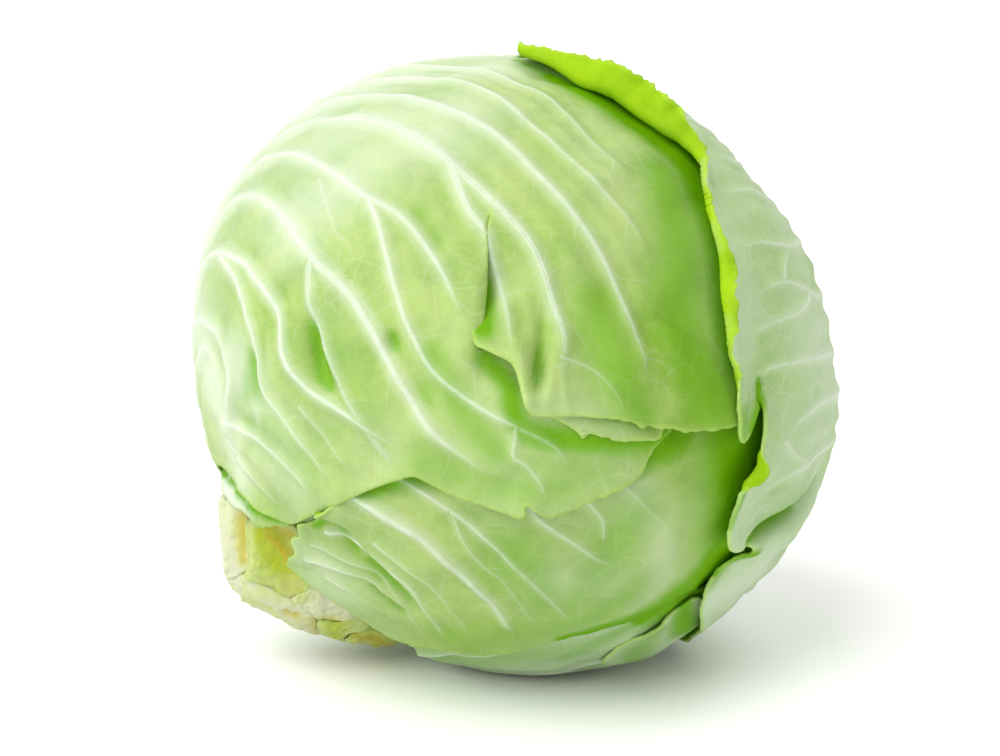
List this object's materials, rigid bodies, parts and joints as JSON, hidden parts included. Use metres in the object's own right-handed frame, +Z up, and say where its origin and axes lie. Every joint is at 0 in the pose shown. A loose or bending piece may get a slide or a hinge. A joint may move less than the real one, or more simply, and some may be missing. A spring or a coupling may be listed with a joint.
{
  "type": "cabbage head",
  "caption": "Head of white cabbage with overlapping waxy wrapper leaves, a standing outer leaf edge and a cut stem among trimmed leaf stalks, resting on a small flat spot",
  "frame": {"origin": "on the floor, under the middle of the head's bounding box", "axes": "+Z up from the flat spot the head rests on; +X to the right with the stem pointing to -X and down; -Y is the side with the torn front leaf, +Y is the back"},
  "size_m": [0.1742, 0.1808, 0.1677],
  "materials": {
    "heart_leaf": "smooth, satin, deep yellow-green where it is shaded",
    "pale_leaf": "waxy satin pale green with raised near-white veins",
    "outer_leaf": "waxy satin grey-green bloom with raised pale veins",
    "cut_stem": "moist matt cream with ochre stains",
    "leaf_stalk": "moist matt pale green"
  },
  "bodies": {
    "root": {"inner_head": "heart_leaf", "bottom_leaf": "outer_leaf", "base_leaf": "pale_leaf", "lower_leaf": "pale_leaf", "front_leaf": "pale_leaf", "right_leaf": "outer_leaf", "stem_stump": "cut_stem", "stalk_left": "cut_stem", "stalk_middle": "leaf_stalk", "stalk_lower": "cut_stem", "stalk_green": "leaf_stalk", "stalk_grey": "leaf_stalk"}
  },
  "joints": []
}
